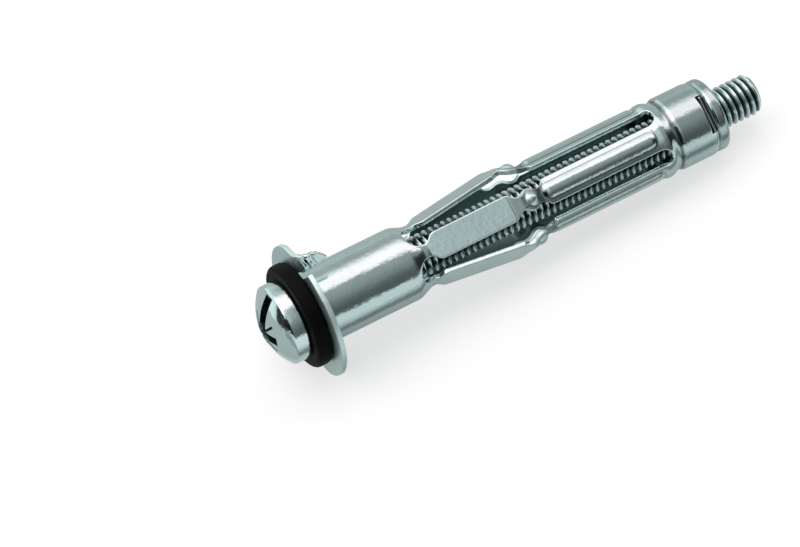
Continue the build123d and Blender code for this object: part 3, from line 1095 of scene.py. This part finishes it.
def head_mesh():
    """The screw's head with its recess, cut from the solid screw under the head."""
    bm = bmesh.new()
    bm.from_mesh(frame["nodes"]["screw"].data)
    bmesh.ops.remove_doubles(bm, verts=bm.verts, dist=SOLID_MERGE * MM)
    bm.transform((PLACE @ Matrix.Scale(MM, 4)).inverted())
    cut_square(bm, HEAD_CUT, 1)
    return finish_mesh(bm, "head", sharp_angle=30)


def make_screw():
    values = {
        "Pitch": PITCH,
        "Crest radius": SCREW_R,
        "Root radius": THREAD_ROOT_R,
        "Start depth": HEAD_BASE,
        "End depth": SCREW_TIP,
        "Crest depth": CREST_DEPTH,
        "Chamfer": TIP_CHAMFER,
        "Turns": THREAD_TURNS,
        "Rows a turn": THREAD_ROWS,
        "Columns": THREAD_COLUMNS,
        "Material": screw_plate,
    }
    bm = bmesh.new()
    bm.from_mesh(baked_nodes("thread", thread_tree(), values))
    cut_square(bm, HEAD_BASE, -1)
    cut_square(bm, SCREW_TIP, 1)
    thread = finish_mesh(bm, "thread", sharp_angle=60)
    add_mesh(thread, head_mesh())
    screw = new_object("threaded_screw", thread, screw_plate)
    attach(screw, "screw")
    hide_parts("screw")


def dress_nodes():
    for node, material in (("threaded_insert", insert_plate), ("retaining_ring", ring_black)):
        mesh = frame["nodes"][node].data
        mesh.materials.clear()
        mesh.materials.append(material)


make_sleeve()
make_screw()
dress_nodes()


# Floor and light
FLOOR_SIZE = 0.24
FLOOR_GREY = 0.5
FLOOR_DIM = 0.2
FLOOR_GLOW = 0.62
# The floor as the metal mirrors it, in millimetres: bands near the camera's side of the
# anchor, and stretches ahead of its middle
BRIGHT_BAND = (14.0, 25.0)
DARK_START, DARK_END = (8.0, 10.0), (12.0, 16.0)
UNDER_START, UNDER_END = (-9.0, -1.0), (6.0, 9.0)
REAR_STRETCH, HEAD_STRETCH, PAST_HEAD = (8.0, 13.0), (23.0, 27.0), (30.0, 35.0)
# How brightly it is mirrored: at least, in the bright band, and under the anchor with what
# comes on top under its head and its rear
MIRRORED_LEAST, MIRRORED_BRIGHT = 0.15, 0.45
UNDER_MIDDLE, UNDER_HEAD, UNDER_REAR = 0.18, 0.22, 0.17


def mirrored_floor(near, ahead):
    """How much of the floor's glow the metal mirrors: some under the anchor, more beside it."""
    under = UNDER_MIDDLE + ahead.ramp(*HEAD_STRETCH) * UNDER_HEAD
    under = under + (1.0 - ahead.ramp(*REAR_STRETCH)) * UNDER_REAR
    under = under * (near.band(UNDER_START, UNDER_END) * (1.0 - ahead.ramp(*PAST_HEAD)))
    return MIRRORED_LEAST + under.most(near.ramp(*BRIGHT_BAND) * MIRRORED_BRIGHT)


def stage_material(name):
    """A floor that the camera sees as white, and the metal as a bright band and a dark one."""
    material, board = new_material(name)
    path = board.add("ShaderNodeLightPath", output="Is Camera Ray")
    glossy, transmitted = board.outputs(path, "Is Glossy Ray", "Is Transmission Ray")
    place = board.add("ShaderNodeTexCoord", output="Object")
    near = along_axis(board, place, (0.0, -1.0 / MM, 0.0))
    ahead = along_axis(board, place, (-1.0 / MM, 0.0, 0.0))
    seen = path.most(glossy * mirrored_floor(near, ahead)).most(transmitted)
    dark = glossy * near.band(DARK_START, DARK_END)
    pale, dim = (
        board.add("ShaderNodeBsdfDiffuse", inputs={"Color": grey(level)})
        for level in (FLOOR_GREY, FLOOR_DIM)
    )
    diffuse = board.add("ShaderNodeMixShader", inputs={0: dark, 1: pale, 2: dim})
    glow = board.add("ShaderNodeEmission", inputs={"Color": grey(1.0), "Strength": FLOOR_GLOW})
    both = board.add("ShaderNodeAddShader", inputs={0: diffuse, 1: glow})
    shader = board.add("ShaderNodeMixShader", inputs={0: seen, 1: diffuse, 2: both})
    board.add("ShaderNodeOutputMaterial", inputs={"Surface": shader})
    return material


def add_floor():
    bm = bmesh.new()
    bmesh.ops.create_grid(bm, x_segments=1, y_segments=1, size=FLOOR_SIZE / 2)
    mesh = bpy.data.meshes.new("floor")
    bm.to_mesh(mesh)
    bm.free()
    new_object("floor", mesh, stage_material("floor_white"))


# The studio's light round the anchor's length, in degrees from straight up, below zero towards
# the camera: where each stretch of light rises, starts or ends, and how bright it is
SIDE_LEVEL = 0.12
SIDE_RISE, SIDE_GAIN = (-74.0, -14.0), 0.3
FRONT_SIDE_RISE, FRONT_SIDE_GAIN = (-60.0, -34.0), 0.45
PANEL_START, PANEL_END = (-10.0, 4.0), (24.0, 56.0)
PANEL_LEVEL = 0.97
PANEL_TINT = (1.27, 1.0, 1.01)
FAR_RISE, FAR_LEVEL = (26.0, 66.0), 0.08
LOW_FAR_RISE, LOW_FAR_LEVEL = (66.0, 78.0), 0.1
NEAR_END, NEAR_LEVEL = (-92.0, -82.0), 0.75
REAR_GAP_END, FRONT_GAP_END = (-34.0, -14.0), (-25.0, -12.0)
# The same along the anchor, as the part of a direction of length 1 that points to its rear
# end, or for FRONT_GAP_START to its head
REAR_GAP_START, FRONT_GAP_START = (0.45, 0.8), (0.27, 0.5)
FRONT_SIDE_END = (0.1, 0.28)
REAR_FADE, REAR_LOSS, FRONT_GAIN = (-0.1, 0.35), 0.3, 1.25
REAR_GAP_DARK, FRONT_GAP_DARK = 0.85, 0.96
# The dark opening that the head mirrors: half its height and width, and how far it is aside
OPENING_HEIGHT, OPENING_WIDTH, OPENING_ASIDE = 0.25, 0.6, 0.1
OPENING_EDGE = (0.7, 1.2)
OPENING_DARK = 0.97


def studio_level(x, turn, panel):
    """The light of the soft panels, with the dark gaps at the anchor's two ends."""
    front_side = (1.0 - x.ramp(*FRONT_SIDE_END)) * turn.ramp(*FRONT_SIDE_RISE)
    side = SIDE_LEVEL + turn.ramp(*SIDE_RISE) * SIDE_GAIN
    side = side * (1.0 + front_side * FRONT_SIDE_GAIN)
    far = turn.ramp(*FAR_RISE) * FAR_LEVEL + turn.ramp(*LOW_FAR_RISE) * LOW_FAR_LEVEL
    near = (1.0 - turn.ramp(*NEAR_END)) * NEAR_LEVEL
    rear_gap = x.ramp(*REAR_GAP_START) * (1.0 - turn.ramp(*REAR_GAP_END)) * REAR_GAP_DARK
    front_gap = (x * -1.0).ramp(*FRONT_GAP_START) * (1.0 - turn.ramp(*FRONT_GAP_END))
    gap = rear_gap.most(front_gap * FRONT_GAP_DARK)
    level = (side + panel * PANEL_LEVEL + far) * (1.0 - gap) + near
    return level * (FRONT_GAIN - x.ramp(*REAR_FADE) * REAR_LOSS)


def head_opening(board, ray):
    """1 in the dark opening ahead of the screw's head, and 0 round it."""
    low = along_axis(board, ray, radial(VIEW_ANGLE)) * (1 / OPENING_HEIGHT)
    aside = along_axis(board, ray, radial(VIEW_ANGLE + 90)) + OPENING_ASIDE
    wide = aside * (1 / OPENING_WIDTH)
    ahead = along_axis(board, ray, OUTWARD).above(0.0)
    return (1.0 - (low * low + wide * wide).ramp(*OPENING_EDGE)) * ahead


def add_world():
    """A white studio with soft panels and dark gaps, laid out round the anchor's length."""
    world = bpy.data.worlds.new("studio")
    world.use_nodes = True
    world.node_tree.nodes.clear()
    bpy.context.scene.world = world
    board = Board(world.node_tree)
    ray = board.add("ShaderNodeTexCoord", output="Generated")
    spread = board.add("ShaderNodeSeparateXYZ", inputs={0: ray})
    x, y, z = board.outputs(spread, "X", "Y", "Z")
    turn = y.maths("ARCTAN2", z) * (180 / pi)
    panel = turn.band(PANEL_START, PANEL_END)
    level = studio_level(x, turn, panel) * (1.0 - head_opening(board, ray) * OPENING_DARK)
    path = board.add("ShaderNodeLightPath", output="Is Camera Ray")
    (glossy,) = board.outputs(path, "Is Glossy Ray")
    strength = level + path * (1.0 - level)
    colour = board.mix(panel * glossy, grey(1.0), grey(1.0, PANEL_TINT))
    shader = board.add("ShaderNodeBackground", inputs={"Color": colour, "Strength": strength})
    board.add("ShaderNodeOutputWorld", inputs={"Surface": shader})


add_floor()
add_world()

bpy.context.scene.view_settings.view_transform = "Standard"
